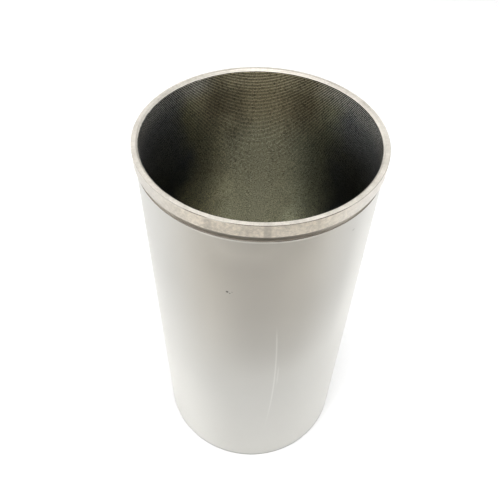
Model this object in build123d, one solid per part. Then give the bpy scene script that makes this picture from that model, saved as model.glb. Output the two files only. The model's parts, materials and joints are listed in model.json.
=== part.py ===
from build123d import *
import os

# Dry cylinder liner: one thin cast-iron sleeve, bored inside, ground outside and hung by its collar.
# It stands on its plain lower end. The origin is the centre of that end, and +Z runs up the bore.
# All lengths are in millimetres.

# Sleeve
BORE_DIAMETER = 100.0
WALL = 2.0  # from the bore out to the ground outside
LENGTH = 202.0  # lower end face to top face

# Collar, which seats in a counterbore of the block
COLLAR_HEIGHT = 6.0  # top face down to the seat
COLLAR_STEP = 0.75  # how far the collar stands out past the ground outside

# Relief groove under the seat, which clears the grinding wheel and the counterbore's corner
GROOVE_HEIGHT = 2.9
GROOVE_DEPTH = 0.6  # below the ground outside
GROOVE_ROOT = 0.15  # fillet at each side of the groove's floor

# Chamfers and bevels
MOUTH_CHAMFER = 0.85  # upper end of the bore
COLLAR_BEVEL = 0.2  # outer edges of the collar
LAND_BEVEL = 0.25  # upper end of the ground outside, below the groove
LEAD_IN_HEIGHT = 1.5  # slow taper at the lower end, which starts the liner in its hole
LEAD_IN_DEPTH = 0.4
FOOT_CHAMFER = 0.5  # lower end of the bore

# Radii and heights that follow from them
bore_radius = BORE_DIAMETER / 2
outside_radius = bore_radius + WALL
collar_radius = outside_radius + COLLAR_STEP
groove_radius = outside_radius - GROOVE_DEPTH
seat_height = LENGTH - COLLAR_HEIGHT
land_height = seat_height - GROOVE_HEIGHT


def band(inner_radius, outer_radius, low, high):
    """Rectangle of the half section, between two radii and two heights."""
    rectangle = Rectangle(outer_radius - inner_radius, high - low, align=(Align.MIN, Align.MIN))
    return Pos(inner_radius, low) * rectangle


def corner(section, radius, height):
    """The corner of the half section that lies at a radius and a height."""
    return section.vertices().sort_by_distance((radius, height))[0]


def blank_section():
    """Sleeve wall with the collar on its upper end, every corner sharp."""
    sleeve = band(bore_radius, outside_radius, 0, LENGTH)
    collar = band(bore_radius, collar_radius, seat_height, LENGTH)
    return sleeve + collar


def cut_relief_groove(section):
    """Turn the groove in under the collar, so that the seat runs in to the groove's floor."""
    section -= band(groove_radius, collar_radius, land_height, seat_height)
    roots = [corner(section, groove_radius, height) for height in (land_height, seat_height)]
    return fillet(roots, GROOVE_ROOT)


def break_edges(section):
    """Bevel the collar, the upper end of the ground outside and both ends of the bore."""
    bevels = (
        (collar_radius, LENGTH, COLLAR_BEVEL),
        (collar_radius, seat_height, COLLAR_BEVEL),
        (outside_radius, land_height, LAND_BEVEL),
        (bore_radius, LENGTH, MOUTH_CHAMFER),
        (bore_radius, 0, FOOT_CHAMFER),
    )
    for radius, height, bevel in bevels:
        section = chamfer(corner(section, radius, height), bevel)
    return section


def taper_lead_in(section):
    """Take the lower end of the ground outside in to a slow taper."""
    foot = corner(section, outside_radius, 0)
    outside = section.edges().filter_by(Axis.Y).sort_by_distance(foot)[0]
    return chamfer(foot, LEAD_IN_HEIGHT, LEAD_IN_DEPTH, reference=outside)


def cylinder_liner():
    """Revolve the finished half section about the bore's axis."""
    section = taper_lead_in(break_edges(cut_relief_groove(blank_section())))
    return revolve(Plane.XZ * section, axis=Axis.Z)


os.makedirs("parts", exist_ok=True)
export_step(cylinder_liner(), "parts/cylinder_liner.step")
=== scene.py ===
import json
from math import cos, pi, radians, sin

import bmesh
import bpy
from mathutils import Matrix, Vector


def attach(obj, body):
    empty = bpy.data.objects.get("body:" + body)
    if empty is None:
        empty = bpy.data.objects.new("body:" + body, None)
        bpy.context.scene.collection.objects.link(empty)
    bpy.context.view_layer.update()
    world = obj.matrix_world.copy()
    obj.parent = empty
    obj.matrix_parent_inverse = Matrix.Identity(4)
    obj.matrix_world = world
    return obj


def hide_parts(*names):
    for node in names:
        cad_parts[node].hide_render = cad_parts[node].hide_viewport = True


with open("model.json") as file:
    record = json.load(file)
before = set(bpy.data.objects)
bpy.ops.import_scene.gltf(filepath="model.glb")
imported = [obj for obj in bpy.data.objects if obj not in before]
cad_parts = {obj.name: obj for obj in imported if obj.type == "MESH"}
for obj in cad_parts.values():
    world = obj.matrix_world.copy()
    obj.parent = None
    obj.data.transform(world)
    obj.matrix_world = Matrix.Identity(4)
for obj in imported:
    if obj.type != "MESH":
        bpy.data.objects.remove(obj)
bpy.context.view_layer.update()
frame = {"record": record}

# The look of a dry cylinder liner: an iron sleeve with a spiral of boring marks inside, a ground
# outside, and a low turned collar over a dark relief groove. Lengths are metres unless a name says mm.
# The liner stands on the floor with its bore along z, and its front faces -y.

MM = 0.001

# ---------------------------------------------------------------- sizes, taken from the frame

NODE = "cylinder_liner"
MOUNTS = {mount["name"]: mount for mount in frame["record"]["mounts"]}


def radius_of(name):
    """Radius of a round mount."""
    return MOUNTS[name]["dims"]["r_mm"] * MM


def span_of(name):
    """Lowest and highest point of a round mount's wall."""
    middle = MOUNTS[name]["pos_m"][2]
    half = MOUNTS[name]["dims"]["length_mm"] * MM / 2
    return middle - half, middle + half


BORE_RADIUS = radius_of("bore")
OUTSIDE_RADIUS = radius_of("ground_outside")
COLLAR_RADIUS = radius_of("collar_rim")
BORE_LOW, BORE_HIGH = span_of("bore")
OUTSIDE_LOW, OUTSIDE_HIGH = span_of("ground_outside")
RIM_LOW, RIM_HIGH = span_of("collar_rim")
SEAT_HEIGHT = MOUNTS["collar_seat"]["pos_m"][2]
TOP_HEIGHT = MOUNTS["top_face"]["pos_m"][2]

COLLAR_BEVEL = TOP_HEIGHT - RIM_HIGH
MOUTH_CHAMFER = TOP_HEIGHT - BORE_HIGH
FOOT_CHAMFER = BORE_LOW

# ---------------------------------------------------------------- sizes of the groove and the lower end

LAND_BEVEL = 0.25 * MM  # on the upper end of the ground outside
LEAD_IN_DEPTH = 0.4 * MM  # how far the lower end tapers in
GROOVE_DEPTH = 0.6 * MM
GROOVE_ROOT = 0.15 * MM  # radius of the fillet at each side of the groove's floor
GROOVE_RADIUS = OUTSIDE_RADIUS - GROOVE_DEPTH
GROOVE_FOOT = OUTSIDE_HIGH + LAND_BEVEL

# ---------------------------------------------------------------- tool marks and faces

COLUMNS = 180  # faces round the liner
ROOT_STEPS = 3  # faces round each fillet of the groove
FEED_TURNS = 249  # whole turns of the boring tool from one end of the bore to the other
FEED = (BORE_HIGH - BORE_LOW) / FEED_TURNS
FEED_DEPTH = 0.1 * MM  # how deep the tool's nose cuts below the crests
WELD_REACH = 1.2 * FEED_DEPTH  # enough to close the bore's wall onto the rings at its ends
NEAR = FEED / COLUMNS / 4  # well under the spiral's rise from one face to the next
SLACK = 0.01 * MM  # when a face is told by its height
CORNER_FOLD = radians(12)  # a ring that folds by more than this is a crisp corner

# ---------------------------------------------------------------- places of oil, stains, wear and painted light

MARKS_FADE = 100 * MM  # how far down the bore the bright lines, a painted highlight, have faded into an even tone
BAND_X = 1 * MM  # middle of the olive band that runs down the bore
BAND_DRIFT = 5 * MM  # how much further towards -x it lies in the lower bore
BAND_WANDER = 16 * MM  # how far it wanders from side to side
BAND_SIDES = (16 * MM, 32 * MM)  # how far from its middle its sides begin, and are reached in full
GRAIN_BREAKS = 3.4  # how strongly the torn grain breaks up the bright lines
SCRATCH_X = 11.85 * MM  # where the long scratch lies at its middle
SCRATCH_Z = 97 * MM  # height of its middle
SCRATCH_BEND = 0.82  # how fast its ends curve aside, a metre
SCRATCH_SHOWS = 0.24  # how much brighter metal it lays bare
GRAZE_X = 13.3 * MM  # a short faint mark beside it
GRAZE_SHOWS = 0.16
SMUDGES = (  # x of each dull smudge down the front of the collar, its reach each way and how dark it is
    (3.8 * MM, 1.8 * MM, 0.17),
    (-17.5 * MM, 2.0 * MM, 0.14),
)
PITS = (  # x, height and radius of each pit on the front, and how dark it is
    (-10.86 * MM, 161.7 * MM, 0.75 * MM, 0.9),
    (-9.8 * MM, 161.0 * MM, 0.5 * MM, 0.6),
    (-8.9 * MM, 162.0 * MM, 0.45 * MM, 0.35),
    (37.4 * MM, 185.4 * MM, 0.7 * MM, 0.3),
)


# ---------------------------------------------------------------- modelling

def clear_selection():
    """Leave edit mode with nothing selected."""
    if bpy.context.mode != "OBJECT":
        bpy.ops.object.mode_set(mode="OBJECT")
    bpy.ops.object.select_all(action="DESELECT")


def use(thing):
    """Make one object the selected and active one."""
    clear_selection()
    thing.select_set(True)
    bpy.context.view_layer.objects.active = thing


def place_in_mesh(thing):
    """Put the object's place into its mesh, so that the object sits at the origin."""
    use(thing)
    bpy.ops.object.transform_apply(location=True, rotation=True, scale=True)


def choose(thing, kind, test):
    """In edit mode, select the vertices or the edges of a mesh that pass a test."""
    bpy.ops.mesh.select_mode(type=kind)
    bpy.ops.mesh.select_all(action="DESELECT")
    mesh = bmesh.from_edit_mesh(thing.data)
    for part in {"VERT": mesh.verts, "EDGE": mesh.edges}[kind]:
        part.select = test(part)
    mesh.select_flush_mode()
    bmesh.update_edit_mesh(thing.data)


def from_axis(place):
    """Distance of a point from the bore's axis."""
    return (place.x ** 2 + place.y ** 2) ** 0.5


def root_arc(height, start):
    """Points of a fillet at the groove's floor: a quarter turn from a start angle in degrees."""
    centre = Vector((GROOVE_RADIUS + GROOVE_ROOT, height))
    angles = [radians(start + 90 * step / ROOT_STEPS) for step in range(ROOT_STEPS + 1)]
    return [tuple(centre + GROOVE_ROOT * Vector((cos(angle), sin(angle)))) for angle in angles]


def outer_section():
    """Half section of everything but the bore: radius and height of each corner, from the mouth down."""
    collar = [
        (BORE_RADIUS, BORE_HIGH),
        (BORE_RADIUS + MOUTH_CHAMFER, TOP_HEIGHT),
        (COLLAR_RADIUS - COLLAR_BEVEL, TOP_HEIGHT),
        (COLLAR_RADIUS, RIM_HIGH),
        (COLLAR_RADIUS, RIM_LOW),
        (COLLAR_RADIUS - COLLAR_BEVEL, SEAT_HEIGHT),
    ]
    groove = root_arc(SEAT_HEIGHT - GROOVE_ROOT, 90) + root_arc(GROOVE_FOOT + GROOVE_ROOT, 180)
    sleeve = [
        (OUTSIDE_RADIUS - LAND_BEVEL, GROOVE_FOOT),
        (OUTSIDE_RADIUS, OUTSIDE_HIGH),
        (OUTSIDE_RADIUS, OUTSIDE_LOW),
        (OUTSIDE_RADIUS - LEAD_IN_DEPTH, 0),
        (BORE_RADIUS + FOOT_CHAMFER, 0),
        (BORE_RADIUS, BORE_LOW),
    ]
    return collar + groove + sleeve


def turn_outside():
    """Draw one ring of edges through every corner of the half section, as a lathe tool would go."""
    clear_selection()
    section = outer_section()
    radius, height = section[0]
    bpy.ops.mesh.primitive_circle_add(vertices=COLUMNS, radius=radius, location=(0, 0, height))
    outside = bpy.context.object
    place_in_mesh(outside)
    bpy.ops.object.mode_set(mode="EDIT")
    bpy.ops.mesh.select_all(action="SELECT")
    for next_radius, next_height in section[1:]:
        drop = (0, 0, next_height - height)
        bpy.ops.mesh.extrude_region_move(TRANSFORM_OT_translate={"value": drop})
        growth = next_radius / radius
        bpy.ops.transform.resize(value=(growth, growth, 1), center_override=(0, 0, 0))
        radius, height = next_radius, next_height
    clear_selection()
    return outside


def tool_mark():
    """Edges of one mark of the boring tool, below the bore's lower end: crest, hollow and crest."""
    clear_selection()
    start = BORE_HIGH - (FEED_TURNS + 2) * FEED
    middle = (BORE_RADIUS, 0, start + FEED / 2)
    bpy.ops.mesh.primitive_circle_add(
        vertices=4, radius=FEED / 2, location=middle, rotation=(pi / 2, 0, 0)
    )
    mark = bpy.context.object
    place_in_mesh(mark)
    bpy.ops.object.mode_set(mode="EDIT")
    choose(mark, "VERT", lambda corner: corner.co.x < BORE_RADIUS - FEED / 4)
    bpy.ops.mesh.delete(type="VERT")
    bpy.ops.mesh.select_all(action="SELECT")
    flatten = FEED_DEPTH / (FEED / 2)
    bpy.ops.transform.resize(value=(flatten, 1, 1), center_override=middle)
    bpy.ops.object.mode_set(mode="OBJECT")
    return mark


def bore_spiral():
    """The bore's wall: one tool mark, repeated up the bore and screwed round it, cut off at both ends."""
    bore = tool_mark()
    marks = bore.modifiers.new("marks", "ARRAY")
    marks.count = FEED_TURNS + 2
    marks.use_relative_offset = False
    marks.use_constant_offset = True
    marks.constant_offset_displace = (0, 0, FEED)
    marks.use_merge_vertices = True
    marks.merge_threshold = FEED / 100
    spiral = bore.modifiers.new("spiral", "SCREW")
    spiral.axis = "Z"
    spiral.angle = 2 * pi
    spiral.screw_offset = FEED
    spiral.steps = COLUMNS
    spiral.render_steps = COLUMNS
    spiral.use_merge_vertices = False
    for modifier in ("marks", "spiral"):
        bpy.ops.object.modifier_apply(modifier=modifier)

    bpy.ops.object.mode_set(mode="EDIT")
    bpy.ops.mesh.select_all(action="SELECT")
    bpy.ops.mesh.remove_doubles(threshold=NEAR)
    for height, normal in ((BORE_HIGH, 1), (BORE_LOW, -1)):
        bpy.ops.mesh.select_all(action="SELECT")
        bpy.ops.mesh.bisect(
            plane_co=(0, 0, height), plane_no=(0, 0, normal), clear_outer=True, threshold=NEAR
        )
    clear_selection()
    return bore


def join_liner(outside, bore):
    """Weld the bore's two ends to the rings they meet, and point every face outwards."""
    use(outside)
    bore.select_set(True)
    bpy.ops.object.join()
    liner = outside
    liner.name = liner.data.name = "turned_liner"
    bpy.ops.object.mode_set(mode="EDIT")
    choose(liner, "VERT", lambda corner: corner.is_boundary)
    bpy.ops.mesh.remove_doubles(threshold=WELD_REACH)
    bpy.ops.mesh.select_all(action="SELECT")
    bpy.ops.mesh.normals_make_consistent(inside=False)
    return liner


def smooth_turned_faces(liner):
    """Round shading along the turned faces, broken at their corners and at the crests of the spiral."""
    use(liner)
    bpy.ops.object.shade_smooth()
    bpy.ops.object.mode_set(mode="EDIT")
    crest = BORE_RADIUS + FEED_DEPTH / 2

    def is_crest(edge):
        ends = [corner.co for corner in edge.verts]
        return all(BORE_LOW < end.z < BORE_HIGH and from_axis(end) < crest for end in ends)

    def is_corner(edge):
        fold = edge.calc_face_angle(0)
        ends = [corner.co for corner in edge.verts]
        return fold > CORNER_FOLD and abs(ends[0].z - ends[1].z) < NEAR

    choose(liner, "EDGE", lambda edge: is_crest(edge) or is_corner(edge))
    bpy.ops.mesh.mark_sharp()
    clear_selection()


def model_liner():
    """The whole liner as one closed mesh."""
    liner = join_liner(turn_outside(), bore_spiral())
    smooth_turned_faces(liner)
    return liner


# ---------------------------------------------------------------- shader maths

MIX_AMOUNT, MIX_FIRST, MIX_SECOND = 0, 6, 7  # inputs of a Mix node that mixes colours
MIX_COLOUR = 2  # its output


class Field:
    """A number or colour that changes from place to place: one socket, with arithmetic for numbers."""

    def __init__(self, shader, socket):
        self.shader = shader
        self.socket = socket

    def __add__(self, other):
        return self.shader.math("ADD", self, other)

    def __sub__(self, other):
        return self.shader.math("SUBTRACT", self, other)

    def __mul__(self, other):
        return self.shader.math("MULTIPLY", self, other)

    def __pow__(self, other):
        return self.shader.math("POWER", self, other)

    def __radd__(self, other):
        return self.shader.math("ADD", other, self)

    def __rsub__(self, other):
        return self.shader.math("SUBTRACT", other, self)

    def __rmul__(self, other):
        return self.shader.math("MULTIPLY", other, self)

    def __rpow__(self, other):
        return self.shader.math("POWER", other, self)

    def __abs__(self):
        return self.shader.math("ABSOLUTE", self)

    def cosine(self):
        return self.shader.math("COSINE", self)

    def ramp(self, start, end):
        """0 up to the start and 1 past the end, with a smooth step between. The end may be the lower."""
        settings = {"interpolation_type": "SMOOTHSTEP"}
        return self.shader.node("ShaderNodeMapRange", settings, {0: self, 1: start, 2: end})


class Shader:
    """A shader in a node tree, whose sockets are fed by fields."""

    def __init__(self, tree, name):
        self.tree = tree
        self.shader = tree.nodes[name]

    def node(self, kind, settings, inputs, output=0):
        """Add one node, set it up, feed its sockets with values or fields, and return an output."""
        node = self.tree.nodes.new(kind)
        for name, value in settings.items():
            setattr(node, name, value)
        for socket, value in inputs.items():
            if isinstance(value, Field):
                self.tree.links.new(value.socket, node.inputs[socket])
            else:
                node.inputs[socket].default_value = value
        return Field(self, node.outputs[output])

    def math(self, operation, *values):
        """Add a Math node."""
        return self.node("ShaderNodeMath", {"operation": operation}, dict(enumerate(values)))

    def feed(self, socket, field):
        """Let a field drive one socket of the shader."""
        self.tree.links.new(field.socket, self.shader.inputs[socket])


class Finish(Shader):
    """One metal finish: a material with fields for its place on the liner."""

    def __init__(self, name, **constants):
        self.material = bpy.data.materials.new(name)
        self.material.use_nodes = True
        super().__init__(self.material.node_tree, "Principled BSDF")
        self.shader.inputs["Metallic"].default_value = 1.0
        for socket, value in constants.items():
            self.shader.inputs[socket.replace("_", " ").title()].default_value = value
        place = self.node("ShaderNodeTexCoord", {}, {}, "Object")
        self.x, self.y, self.z = (
            self.node("ShaderNodeSeparateXYZ", {}, {0: place}, axis) for axis in "XYZ"
        )

    def radius(self):
        """Distance from the bore's axis."""
        return (self.x * self.x + self.y * self.y) ** 0.5

    def angle(self):
        """Angle round the bore's axis."""
        return self.math("ARCTAN2", self.y, self.x)

    def front(self):
        """1 on the front of the liner and 0 on its back."""
        return self.y.ramp(0, -10 * MM)

    def noise(self, across, up, detail=3.0, roughness=0.55):
        """Noise with its own number of features a metre, across the surface and up it."""
        return self.noise_at(self.x * across, self.y * across, self.z * up, detail, roughness)

    def noise_at(self, first, second, third, detail=3.0, roughness=0.55):
        """Noise read at a place that three fields give."""
        place = self.node("ShaderNodeCombineXYZ", {}, {0: first, 1: second, 2: third})
        inputs = {"Vector": place, "Scale": 1.0, "Detail": detail, "Roughness": roughness}
        return self.node("ShaderNodeTexNoise", {}, inputs, "Fac")

    def colour(self, amount, first, second):
        """A colour from the first, where the amount is 0, to the second, where it is 1."""
        ends = [end if isinstance(end, Field) else (*end, 1) for end in (first, second)]
        inputs = {MIX_AMOUNT: amount, MIX_FIRST: ends[0], MIX_SECOND: ends[1]}
        return self.node("ShaderNodeMix", {"data_type": "RGBA"}, inputs, MIX_COLOUR)

    def relief(self, height, depth):
        """Bump the surface by a field, whose full swing is a depth in metres."""
        inputs = {"Height": height * depth, "Distance": 1.0, "Strength": 1.0}
        self.feed("Normal", self.node("ShaderNodeBump", {}, inputs, "Normal"))


# ---------------------------------------------------------------- the bore's finish

MARK_BLACK = (0.015, 0.015, 0.014)
# painted shade at each side of the bore's middle
PAINTED_SHADE_BLACK = (0, 0, 0)
MIDDLE_OLIVE = (0.56, 0.535, 0.36), (0.76, 0.74, 0.50)  # in the upper and in the lower bore
# painted light on the olive band's sides, left and right
LEFT_LIT_OLIVE = (0.86, 0.80, 0.50), (1.0, 0.94, 0.60)
RIGHT_LIT_OLIVE = (0.82, 0.82, 0.56), (0.98, 0.98, 0.68)
# painted shade past the band's edges, in the upper and in the lower bore
SHADED_GREY = (0.58, 0.59, 0.59), (0.22, 0.24, 0.26)
OIL_BROWN = (0.52, 0.45, 0.275), (0.82, 0.70, 0.43)  # in the middle of the band and at its sides
# painted light just below the mouth, at its middle and at its sides
MOUTH_BRIGHT = (1.0, 0.89, 0.58), (0.96, 0.94, 0.86)


def bare_metal_and_painted_light(finish, low, aside):
    """How much metal shows between the tool marks: lines near the mouth, and an even tone lower down. The
    lines are partly the real pattern of the marks and partly painted highlight; the lighter even tone at
    the lower sides and the left shoulder is painted light.
    """
    # painted highlight: bright lines between the tool marks, sharper at the sides and fading lower down
    crest = 0.5 + 0.5 * ((finish.z - BORE_HIGH) * (2 * pi / FEED) - finish.angle()).cosine()
    narrow = 3 + 3 * aside.ramp(*BAND_SIDES)
    crisp = (finish.z - BORE_HIGH).ramp(-MARKS_FADE, 0)
    left_shoulder_light = finish.z.ramp(160 * MM, 130 * MM) * finish.x.ramp(-8 * MM, -20 * MM)
    # painted light: a lighter even tone at the lower sides and at the left shoulder
    even = 0.34 + 0.22 * low * aside.ramp(14 * MM, 26 * MM) + 0.16 * left_shoulder_light
    return crest ** narrow * crisp + even * (1 - crisp)


def olive_band_and_painted_light(finish, low, aside):
    """Olive metal down the middle, browner towards -x and greener towards +x, with painted light on the
    band's sides, and grey painted shade past its edges, darker lower down.
    """
    left = finish.colour(low, *LEFT_LIT_OLIVE)
    right = finish.colour(low, *RIGHT_LIT_OLIVE)
    lit_flank = finish.colour(finish.x.ramp(-20 * MM, 20 * MM), left, right)
    olive = finish.colour(aside.ramp(10 * MM, 26 * MM), finish.colour(low, *MIDDLE_OLIVE), lit_flank)
    grey = finish.colour(finish.z.ramp(178 * MM, 145 * MM), *SHADED_GREY)
    upper_right = finish.x.ramp(-10 * MM, 10 * MM) * finish.z.ramp(138 * MM, 162 * MM)
    edge = aside + 3 * MM * upper_right
    return finish.colour(edge.ramp(44 * MM, 34 * MM), grey, olive)


def oil_and_painted_shade(finish, metal, aside):
    """Metal under a brown film of oil in the upper bore, with painted shade at each side of its middle.
    """
    film = aside.ramp(35 * MM, 21 * MM) * finish.z.ramp(160 * MM, 185 * MM)
    brown = finish.colour(aside.ramp(*BAND_SIDES), *OIL_BROWN)
    oiled = finish.colour(film, metal, brown)
    # painted shade at each side of the middle, darker towards -x
    dark = 0.13 + 0.19 * finish.x.ramp(5 * MM, -5 * MM)
    painted_shade = dark * abs(aside - 14 * MM).ramp(9 * MM, 0) * finish.z.ramp(150 * MM, 168 * MM)
    return finish.colour(painted_shade, oiled, PAINTED_SHADE_BLACK)


def paint_mouth_light(finish, metal, aside):
    """Metal made lighter over the first turns below the mouth: painted light where light falls in at the
    mouth.
    """
    bright = finish.colour(aside.ramp(20 * MM, 34 * MM), *MOUTH_BRIGHT)
    mouth_light = (0.25 + 0.5 * aside.ramp(4 * MM, 26 * MM)) * finish.z.ramp(189 * MM, 198 * MM)
    return finish.colour(mouth_light, metal, bright)


def bored_finish():
    """Bored iron: a band of olive metal and oil, torn grain, and tool marks whose painted highlights fade
    lower down, with painted light at the mouth and on the band's sides and painted shade past its edges.
    """
    finish = Finish("bored_iron", anisotropic=0.93, anisotropic_rotation=0.25)
    grain = finish.noise(1400, 1400, detail=2, roughness=0.75)
    low = finish.z.ramp(155 * MM, 100 * MM)
    wander = BAND_WANDER * (finish.noise(45, 45) - 0.5)
    aside = abs(finish.x - BAND_X + BAND_DRIFT * low + wander)
    metal = paint_mouth_light(finish, oil_and_painted_shade(finish, olive_band_and_painted_light(finish, low, aside), aside), aside)
    lines_and_painted_light = bare_metal_and_painted_light(finish, low, aside) * (1 + GRAIN_BREAKS * (grain - 0.5))
    finish.feed("Base Color", finish.colour(lines_and_painted_light, MARK_BLACK, metal))
    finish.feed("Roughness", 0.36 + 0.12 * grain)
    finish.relief(grain, 0.02 * MM)
    return finish.material


# ---------------------------------------------------------------- the collar's finishes

FACED_MOTTLE = (0.64, 0.605, 0.535), (0.84, 0.80, 0.73)
FACED_SIDE_LIGHT = (0.98, 0.95, 0.88)
FACED_SHADE = (0.05, 0.045, 0.035)
COLLAR_MOTTLE = (0.70, 0.649, 0.562), (0.95, 0.886, 0.782)
COLLAR_SMUDGE = (0.10, 0.09, 0.08)
# painted shade on the collar's sides
COLLAR_SIDE_SHADE = (0.60, 0.592, 0.58), (0.76, 0.75, 0.735)  # at the left end and at the right end
BEVEL_DULL = (0.56, 0.53, 0.48)
BEVEL_DARK = (0.18, 0.155, 0.125)
GROOVE_DULL_AND_SHADE = (0.36, 0.325, 0.275), (0.48, 0.44, 0.375)
GROOVE_PAINTED_LIGHT = (0.56, 0.525, 0.465)


def faced_finish():
    """Bright faced iron on both end faces and the bore's chamfers, with painted light at the left and
    right, and painted shade at the back below the top.
    """
    finish = Finish("faced_iron")
    rings = finish.noise_at(finish.x * 40, finish.y * 40, finish.radius() * 9000)
    patches = finish.noise(160, 160)
    mottle = finish.noise(700, 700, roughness=0.65)
    blend = 0.4 * patches.ramp(0.3, 0.7) + 0.6 * mottle.ramp(0.3, 0.7)
    mottled = finish.colour(blend, *FACED_MOTTLE)
    # painted light at the left and right of the faced rings
    side = 0.2 * abs(finish.x).ramp(44 * MM, 50 * MM)
    bright = finish.colour(side, mottled, FACED_SIDE_LIGHT)
    # painted shade on the bore's chamfer at the back, below the top
    chamfer = finish.z.ramp(TOP_HEIGHT, TOP_HEIGHT - 0.1 * MM)
    back = finish.y.ramp(5 * MM, 35 * MM) * abs(finish.x).ramp(52 * MM, 10 * MM)
    finish.feed("Base Color", finish.colour(0.62 * chamfer * back, bright, FACED_SHADE))
    finish.feed("Roughness", 0.50 + 0.12 * patches)
    finish.relief(rings, 0.004 * MM)
    return finish.material


def collar_finish():
    """Turned iron on the collar's rim, mottled at the front and back, and plainer and darker at the sides
    with painted shade.
    """
    finish = Finish("collar_iron")
    patches = finish.noise(150, 190, roughness=0.6)
    mottle = finish.noise(760, 900, detail=4, roughness=0.65)
    blend = 0.35 * patches.ramp(0.3, 0.7) + 0.65 * mottle.ramp(0.32, 0.68)
    mottled = finish.colour(blend, *COLLAR_MOTTLE)
    front = finish.front()
    for x, reach, depth in SMUDGES:
        smudge = depth * abs(finish.x - x).ramp(reach, reach / 2) * front
        mottled = finish.colour(smudge, mottled, COLLAR_SMUDGE)
    # painted shade: plainer, darker tones at the sides, darkest at the left
    plain = finish.colour(finish.x.ramp(-20 * MM, 20 * MM), *COLLAR_SIDE_SHADE)
    side = 0.65 * abs(finish.x).ramp(18 * MM, 44 * MM)
    finish.feed("Base Color", finish.colour(side, mottled, plain))
    finish.feed("Roughness", 0.72 + 0.12 * mottle)
    finish.relief(mottle, 0.012 * MM)
    return finish.material


def edge_finish():
    """Dull iron on the collar's upper bevel and on the bevel below the groove, darker in front."""
    finish = Finish("edge_iron")
    below = finish.z.ramp(SEAT_HEIGHT, GROOVE_FOOT)
    left_dark = abs(finish.x + 22 * MM).ramp(5 * MM, 3 * MM)
    right_dark = finish.x.ramp(-13 * MM, -6 * MM) * finish.x.ramp(34 * MM, 29 * MM)
    upper = 0.22 + 0.78 * (0.8 * left_dark + right_dark)
    lower = 0.62 + 0.33 * finish.x.ramp(4 * MM, 12 * MM) * finish.x.ramp(32 * MM, 24 * MM)
    front_dark = finish.y.ramp(10 * MM, -35 * MM) * (upper + (lower - upper) * below)
    finish.feed("Base Color", finish.colour(front_dark, BEVEL_DULL, BEVEL_DARK))
    finish.feed("Roughness", 0.55 + 0.1 * front_dark)
    return finish.material


def groove_finish():
    """Dull iron in the relief groove, which the grinding wheel never reached, darkened further with
    painted shade, and lighter at the sides with painted light.
    """
    finish = Finish("groove_iron")
    patches = finish.noise(200, 400)
    # painted light at the groove's sides
    side = finish.x.ramp(19 * MM, 28 * MM) + finish.x.ramp(-26 * MM, -36 * MM)
    finish.feed("Base Color", finish.colour(side, finish.colour(patches, *GROOVE_DULL_AND_SHADE), GROOVE_PAINTED_LIGHT))
    finish.feed("Roughness", 0.5 + 0.2 * patches)
    return finish.material


# ---------------------------------------------------------------- the ground outside's finish

GROUND_DULL = (0.47, 0.462, 0.436), (0.48, 0.452, 0.40)  # cool and warm
GROUND_BRIGHT = (0.68, 0.671, 0.634), (0.69, 0.65, 0.575)
# painted highlight along the upper edge of the ground outside
LIP_HIGHLIGHT = (0.85, 0.82, 0.75)
SCRATCH_BRIGHT = (0.95, 0.94, 0.90)
PIT_DARK = (0.06, 0.055, 0.045)
# painted shade: a contact shadow at the lower end
FOOT_SHADE = (0.30, 0.29, 0.27)


def polish_and_painted_light(finish, cloud):
    """How brightly the outside is ground, from dull at 0 to bright at 1: a random cloudy tone, with
    painted shade at both sides high up and round a band about 135 mm up, and painted light at the lower
    left, at the right edge and under the collar.
    """
    # painted shade: duller at both sides high up and round a band about 135 mm up
    beside = abs(finish.x).ramp(12 * MM, 36 * MM) * finish.z.ramp(100 * MM, 165 * MM)
    waist_shade_height = abs(finish.z - 135 * MM).ramp(45 * MM, 10 * MM)
    waist_shade = waist_shade_height * abs(finish.x - 10 * MM).ramp(30 * MM, 8 * MM)
    # painted light: brighter at the lower left, at the right edge and under the collar
    left_foot_light = finish.x.ramp(-5 * MM, -35 * MM) * finish.z.ramp(110 * MM, 50 * MM)
    right_edge_light = finish.x.ramp(36 * MM, 45 * MM) * finish.z.ramp(80 * MM, 140 * MM)
    under_collar_light = finish.z.ramp(174 * MM, 193 * MM) * abs(finish.x + 4 * MM).ramp(22 * MM, 4 * MM)
    brighter = 0.36 * left_foot_light + 0.45 * right_edge_light + 0.7 * under_collar_light
    return 0.45 + 0.25 * cloud - 0.42 * beside - 0.33 * waist_shade + brighter


def ground_metal(finish, cloud):
    """Ground iron, warmer high up in the middle, with a painted highlight along its upper edge below the
    groove.
    """
    warm = finish.z.ramp(70 * MM, 180 * MM) * abs(finish.x).ramp(42 * MM, 15 * MM)
    dull = finish.colour(warm, *GROUND_DULL)
    bright = finish.colour(warm, *GROUND_BRIGHT)
    metal = finish.colour(polish_and_painted_light(finish, cloud), dull, bright)
    # painted highlight along the upper edge, in front
    top = finish.z.ramp(OUTSIDE_HIGH - 1.1 * MM, OUTSIDE_HIGH - 0.4 * MM)
    lip_highlight = 0.8 * top * abs(finish.x).ramp(28 * MM, 14 * MM)
    return finish.colour(lip_highlight, metal, LIP_HIGHLIGHT)


def scratch(finish, metal):
    """Metal with the long bent scratch and the short faint mark beside it, both in front."""
    bend = finish.x - SCRATCH_X + SCRATCH_BEND * (finish.z - SCRATCH_Z) ** 2
    scratch_ends = finish.z.ramp(30 * MM, 90 * MM) * finish.z.ramp(140 * MM, 126 * MM)
    long_mark = abs(bend).ramp(0.55 * MM, 0.1 * MM) * scratch_ends
    graze_ends = finish.z.ramp(84 * MM, 92 * MM) * finish.z.ramp(106 * MM, 100 * MM)
    short_mark = abs(finish.x - GRAZE_X).ramp(0.5 * MM, 0.1 * MM) * graze_ends
    marks = finish.front() * (SCRATCH_SHOWS * long_mark + GRAZE_SHOWS * short_mark)
    return finish.colour(marks, metal, SCRATCH_BRIGHT)


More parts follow.
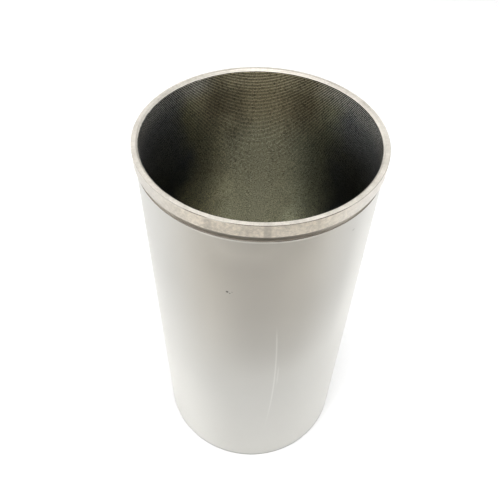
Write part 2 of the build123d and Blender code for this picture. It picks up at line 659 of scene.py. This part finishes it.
def pit(finish, metal):
    """Metal with small dark pits in the front."""
    front = finish.front()
    for x, z, radius, depth in PITS:
        away = ((finish.x - x) ** 2 + (finish.z - z) ** 2) ** 0.5
        hole = front * depth * away.ramp(radius, radius / 3)
        metal = finish.colour(hole, metal, PIT_DARK)
    return metal


def ground_finish():
    """Satin ground iron on the outside, with hair-fine marks round it, a long scratch and a few pits, and
    painted light, highlight and shade.
    """
    finish = Finish("ground_iron", anisotropic=0.5, anisotropic_rotation=0.25)
    streaks = finish.noise(18, 2600, detail=4)
    cloud = finish.noise(14, 10)
    metal = pit(finish, scratch(finish, ground_metal(finish, cloud)))
    # painted shade: a contact shadow over the lowest 2.4 mm
    foot_shade = 0.9 * finish.z.ramp(2.4 * MM, 1.2 * MM)
    finish.feed("Base Color", finish.colour(foot_shade, metal, FOOT_SHADE))
    finish.feed("Roughness", 0.33 + 0.05 * cloud + 0.04 * streaks)
    finish.relief(streaks, 0.001 * MM)
    return finish.material


def dress_liner(liner):
    """Give each turned face its finish, by where it lies."""
    makers = (bored_finish, faced_finish, collar_finish, edge_finish, groove_finish, ground_finish)
    bored, faced, collar, edge, groove, ground = range(len(makers))
    for make in makers:
        liner.data.materials.append(make())

    def finish_at(place):
        radius = from_axis(place)
        if radius < BORE_RADIUS + FEED_DEPTH and BORE_LOW < place.z < BORE_HIGH:
            return bored
        if place.z > RIM_HIGH and radius > COLLAR_RADIUS - COLLAR_BEVEL:
            return edge
        if place.z > RIM_HIGH or place.z < SLACK or radius < BORE_RADIUS + FOOT_CHAMFER:
            return faced
        if place.z > SEAT_HEIGHT + SLACK:
            return collar
        if place.z > GROOVE_FOOT - SLACK:
            return groove
        if place.z > OUTSIDE_HIGH:
            return edge
        return ground

    for face in liner.data.polygons:
        face.material_index = finish_at(face.center)


# ---------------------------------------------------------------- studio

FLOOR_SIZE = 6.0
FLOOR_WHITE = (0.86, 0.86, 0.86, 1)
SHADE_PLACE = (0.02, -0.28, 0.30)
SHADE_SIZE = (0.7, 0.6)
SHADE_BLACK = (0.09, 0.09, 0.09, 1)
HORIZON_GLOW = 0.4
GLOW_FADES = (0.4, 0.6)  # sines of the angles above the horizon between which it fades out
LAMPS = (  # name, place, the point it faces, width and height, and brightness
    ("key_lamp", (0, -0.42, 1.25), (0, 0, 0.1), (0.9, 0.45), 15.5),
    ("overhead_lamp", (0, 0, 2.0), (0, 0, 0), (1.2, 1.1), 3),
    ("front_left_panel", (-0.9, -0.9, 0.45), (0, 0, 0.2), (1.4, 0.35), 3.4),
    ("front_right_panel", (0.9, -0.9, 0.45), (0, 0, 0.2), (1.4, 0.35), 3.3),
    ("left_panel", (-1.2, 0.3, 0.45), (0, 0, 0.2), (1.6, 0.4), 3.3),
    ("right_panel", (1.2, 0.3, 0.4), (0, 0, 0.2), (1.6, 0.3), 1.1),
    ("low_panel", (1.2, 0, 0.2), (0, 0, 0.1), (2.0, 0.3), 1.3),
    ("back_panel", (0, 1.2, 1.1), (0, 0, 0.2), (2.4, 1.2), 0.5),
)
CAMERA_FOCUS_MM = 40.13
CAMERA_SENSOR_MM = 36
CAMERA_PLACE = (0, -187.64 * MM, 339.38 * MM)
CAMERA_DOWN = radians(47.963)
CAMERA_LEFT = radians(0.991)
CAMERA_ROLL = radians(1.722)


def matte(name, colour, specular=0.5):
    """A plain rough material."""
    material = bpy.data.materials.new(name)
    material.use_nodes = True
    shader = material.node_tree.nodes["Principled BSDF"]
    shader.inputs["Base Color"].default_value = colour
    shader.inputs["Roughness"].default_value = 0.9
    shader.inputs["Specular IOR Level"].default_value = specular
    return material


def lay_floor():
    """A plain pale floor."""
    clear_selection()
    bpy.ops.mesh.primitive_plane_add(size=FLOOR_SIZE, location=(0, 0, 0))
    floor = bpy.context.object
    floor.name = "floor"
    floor.data.materials.append(matte("pale_floor", FLOOR_WHITE, specular=0.2))


def stand_shade():
    """A black card before the liner, out of the camera's sight, to give the metal its darker middle."""
    clear_selection()
    bpy.ops.mesh.primitive_plane_add(size=1, location=SHADE_PLACE, rotation=(pi / 2, 0, 0))
    card = bpy.context.object
    card.name = "shade_card"
    card.scale = (*SHADE_SIZE, 1)
    card.visible_camera = False
    card.data.materials.append(matte("black_card", SHADE_BLACK))


def hang_light(name, place, target, size, brightness):
    """A soft rectangular lamp that faces a point and looks this many times as bright as white paper."""
    light = bpy.data.lights.new(name, "AREA")
    light.shape = "RECTANGLE"
    light.size, light.size_y = size
    light.energy = pi * brightness * size[0] * size[1]
    lamp = bpy.data.objects.new(name, light)
    bpy.context.scene.collection.objects.link(lamp)
    lamp.location = place
    lamp.rotation_euler = (Vector(target) - Vector(place)).to_track_quat("-Z", "Y").to_euler()


def light_studio():
    """A pale glow round the horizon, a lamp overhead, a key lamp before it and panels round about."""
    world = bpy.data.worlds.new("studio")
    bpy.context.scene.world = world
    world.use_nodes = True
    glow = Shader(world.node_tree, "Background")
    glow.shader.inputs["Color"].default_value = (1, 1, 1, 1)
    direction = glow.node("ShaderNodeTexCoord", {}, {}, "Generated")
    height = glow.node("ShaderNodeSeparateXYZ", {}, {0: direction}, "Z")
    glow.feed("Strength", HORIZON_GLOW * (1 - height.ramp(*GLOW_FADES)))
    for lamp in LAMPS:
        hang_light(*lamp)
    bpy.context.scene.view_settings.view_transform = "Standard"


def set_camera():
    """The camera stands before the liner and looks steeply down at it."""
    camera = bpy.data.objects.new("camera", bpy.data.cameras.new("camera"))
    bpy.context.scene.collection.objects.link(camera)
    camera.data.lens = CAMERA_FOCUS_MM
    camera.data.sensor_width = CAMERA_SENSOR_MM
    camera.data.clip_start = 10 * MM
    turn = Matrix.Rotation(CAMERA_LEFT, 4, "Z") @ Matrix.Rotation(pi / 2 - CAMERA_DOWN, 4, "X")
    camera.matrix_world = Matrix.Translation(CAMERA_PLACE) @ turn @ Matrix.Rotation(CAMERA_ROLL, 4, "Z")
    bpy.context.scene.camera = camera


# ---------------------------------------------------------------- the scene

set_camera()
liner = model_liner()
dress_liner(liner)
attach(liner, "root")
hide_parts(NODE)
lay_floor()
stand_shade()
light_studio()
